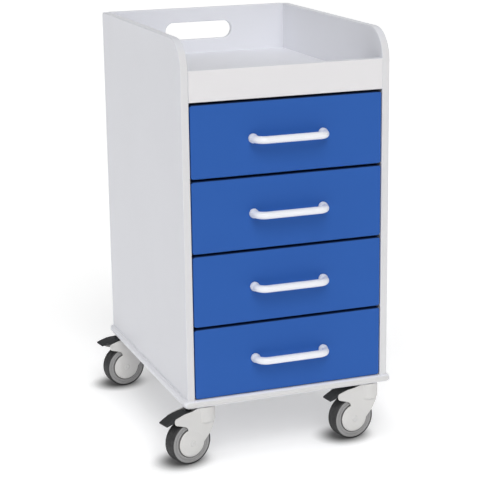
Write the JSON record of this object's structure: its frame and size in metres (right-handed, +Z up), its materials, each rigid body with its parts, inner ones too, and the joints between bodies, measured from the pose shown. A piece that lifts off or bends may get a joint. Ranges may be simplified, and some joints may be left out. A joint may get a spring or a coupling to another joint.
{
  "type": "bedside cabinet",
  "caption": "Slim mobile bedside cabinet with a recessed top tray, a stack of blue drawers with bar pulls and braked swivel casters under an overhanging base plate.",
  "frame": {"origin": "middle of the overall bounding box, at floor level", "axes": "+Z up; the drawer fronts face -Y; +X to the right seen from the front"},
  "size_m": [0.4088, 0.4808, 0.6944],
  "materials": {
    "carcass_white": "satin, lightly grained sheet",
    "drawer_blue": "satin sheet",
    "box_white": "satin sheet",
    "pull_white": "smooth moulded",
    "slide_zinc": "zinc plated",
    "screw_zinc": "zinc plated",
    "shell_grey": "smooth moulded",
    "rim_grey": "moulded",
    "tread_dark": "moulded",
    "pedal_black": "fine texture",
    "stem_steel": "zinc plated",
    "axle_cap": "smooth moulded"
  },
  "bodies": {
    "cabinet": {"left_side_panel": "carcass_white", "right_side_panel": "carcass_white", "back_panel": "carcass_white", "top_shelf": "carcass_white", "front_fascia": "carcass_white", "base_plate": "carcass_white", "cabinet_slide_members": "slide_zinc", "caster_stem_nuts": "stem_steel", "caster_fl_mount": "stem_steel", "caster_fr_mount": "stem_steel", "caster_rl_mount": "stem_steel", "caster_rr_mount": "stem_steel"},
    "drawer_1": {"drawer_1_front": "drawer_blue", "drawer_1_handle": "pull_white", "drawer_1_box": "box_white", "drawer_1_bottom": "box_white", "drawer_1_screws": "screw_zinc", "drawer_1_inner_slides": "slide_zinc"},
    "drawer_1_middle": {"drawer_1_middle_slides": "slide_zinc"},
    "drawer_2": {"drawer_2_front": "drawer_blue", "drawer_2_handle": "pull_white", "drawer_2_box": "box_white", "drawer_2_bottom": "box_white", "drawer_2_screws": "screw_zinc", "drawer_2_inner_slides": "slide_zinc"},
    "drawer_2_middle": {"drawer_2_middle_slides": "slide_zinc"},
    "drawer_3": {"drawer_3_front": "drawer_blue", "drawer_3_handle": "pull_white", "drawer_3_box": "box_white", "drawer_3_bottom": "box_white", "drawer_3_screws": "screw_zinc", "drawer_3_inner_slides": "slide_zinc"},
    "drawer_3_middle": {"drawer_3_middle_slides": "slide_zinc"},
    "drawer_4": {"drawer_4_front": "drawer_blue", "drawer_4_handle": "pull_white", "drawer_4_box": "box_white", "drawer_4_bottom": "box_white", "drawer_4_screws": "screw_zinc", "drawer_4_inner_slides": "slide_zinc"},
    "drawer_4_middle": {"drawer_4_middle_slides": "slide_zinc"},
    "caster_fl_swivel": {"caster_fl_fork": "shell_grey", "caster_fl_axle": "axle_cap"},
    "caster_fl_roller": {"caster_fl_wheel": "rim_grey", "caster_fl_tyre": "tread_dark"},
    "caster_fl_brake": {"caster_fl_pedal": "pedal_black"},
    "caster_fr_swivel": {"caster_fr_fork": "shell_grey", "caster_fr_axle": "axle_cap"},
    "caster_fr_roller": {"caster_fr_wheel": "rim_grey", "caster_fr_tyre": "tread_dark"},
    "caster_fr_brake": {"caster_fr_pedal": "pedal_black"},
    "caster_rl_swivel": {"caster_rl_fork": "shell_grey", "caster_rl_axle": "axle_cap"},
    "caster_rl_roller": {"caster_rl_wheel": "rim_grey", "caster_rl_tyre": "tread_dark"},
    "caster_rl_brake": {"caster_rl_pedal": "pedal_black"},
    "caster_rr_swivel": {"caster_rr_fork": "shell_grey", "caster_rr_axle": "axle_cap"},
    "caster_rr_roller": {"caster_rr_wheel": "rim_grey", "caster_rr_tyre": "tread_dark"},
    "caster_rr_brake": {"caster_rr_pedal": "pedal_black"}
  },
  "joints": [
    {"name": "drawer_1_slide", "type": "slide", "parent": "cabinet", "child": "drawer_1", "axis": [0, -1, 0], "range_m": [0, 0.38]},
    {"name": "drawer_1_middle_slide", "type": "slide", "parent": "cabinet", "child": "drawer_1_middle", "axis": [0, -1, 0], "range_m": [0, 0.192]},
    {"name": "drawer_2_slide", "type": "slide", "parent": "cabinet", "child": "drawer_2", "axis": [0, -1, 0], "range_m": [0, 0.38]},
    {"name": "drawer_2_middle_slide", "type": "slide", "parent": "cabinet", "child": "drawer_2_middle", "axis": [0, -1, 0], "range_m": [0, 0.192]},
    {"name": "drawer_3_slide", "type": "slide", "parent": "cabinet", "child": "drawer_3", "axis": [0, -1, 0], "range_m": [0, 0.38]},
    {"name": "drawer_3_middle_slide", "type": "slide", "parent": "cabinet", "child": "drawer_3_middle", "axis": [0, -1, 0], "range_m": [0, 0.192]},
    {"name": "drawer_4_slide", "type": "slide", "parent": "cabinet", "child": "drawer_4", "axis": [0, -1, 0], "range_m": [0, 0.38]},
    {"name": "drawer_4_middle_slide", "type": "slide", "parent": "cabinet", "child": "drawer_4_middle", "axis": [0, -1, 0], "range_m": [0, 0.192]},
    {"name": "caster_fl_swivel_turn", "type": "hinge", "parent": "cabinet", "child": "caster_fl_swivel", "pos_m": [-0.12632, -0.19417, 0.085], "axis": [0, 0, 1], "continuous": true},
    {"name": "caster_fl_wheel_spin", "type": "hinge", "parent": "caster_fl_swivel", "child": "caster_fl_roller", "pos_m": [-0.15584, -0.20148, 0.0375], "axis": [0.2402, -0.9707, 0], "continuous": true},
    {"name": "caster_fl_brake_press", "type": "hinge", "parent": "caster_fl_swivel", "child": "caster_fl_brake", "pos_m": [-0.14962, -0.19994, 0.084], "axis": [0.2402, -0.9707, 0], "range_deg": [-11, 0]},
    {"name": "caster_fr_swivel_turn", "type": "hinge", "parent": "cabinet", "child": "caster_fr_swivel", "pos_m": [0.16687, -0.19417, 0.085], "axis": [0, 0, 1], "continuous": true},
    {"name": "caster_fr_wheel_spin", "type": "hinge", "parent": "caster_fr_swivel", "child": "caster_fr_roller", "pos_m": [0.13672, -0.19804, 0.0375], "axis": [0.1271, -0.9919, 0], "continuous": true},
    {"name": "caster_fr_brake_press", "type": "hinge", "parent": "caster_fr_swivel", "child": "caster_fr_brake", "pos_m": [0.14307, -0.19723, 0.084], "axis": [0.1271, -0.9919, 0], "range_deg": [-11, 0]},
    {"name": "caster_rl_swivel_turn", "type": "hinge", "parent": "cabinet", "child": "caster_rl_swivel", "pos_m": [-0.11812, 0.20792, 0.085], "axis": [0, 0, 1], "continuous": true},
    {"name": "caster_rl_wheel_spin", "type": "hinge", "parent": "caster_rl_swivel", "child": "caster_rl_roller", "pos_m": [-0.14823, 0.20369, 0.0375], "axis": [0.1392, -0.9903, 0], "continuous": true},
    {"name": "caster_rl_brake_press", "type": "hinge", "parent": "caster_rl_swivel", "child": "caster_rl_brake", "pos_m": [-0.14189, 0.20458, 0.084], "axis": [0.1392, -0.9903, 0], "range_deg": [0, 11]},
    {"name": "caster_rr_swivel_turn", "type": "hinge", "parent": "cabinet", "child": "caster_rr_swivel", "pos_m": [0.15868, 0.20792, 0.085], "axis": [0, 0, 1], "continuous": true},
    {"name": "caster_rr_wheel_spin", "type": "hinge", "parent": "caster_rr_swivel", "child": "caster_rr_roller", "pos_m": [0.12894, 0.2016, 0.0375], "axis": [0.2079, -0.9781, 0], "continuous": true},
    {"name": "caster_rr_brake_press", "type": "hinge", "parent": "caster_rr_swivel", "child": "caster_rr_brake", "pos_m": [0.1352, 0.20294, 0.084], "axis": [0.2079, -0.9781, 0], "range_deg": [0, 11]}
  ],
  "couplings": [
    {"joint": "drawer_1_middle_slide", "follows": "drawer_1_slide", "ratio": 0.5},
    {"joint": "drawer_2_middle_slide", "follows": "drawer_2_slide", "ratio": 0.5},
    {"joint": "drawer_3_middle_slide", "follows": "drawer_3_slide", "ratio": 0.5},
    {"joint": "drawer_4_middle_slide", "follows": "drawer_4_slide", "ratio": 0.5}
  ]
}
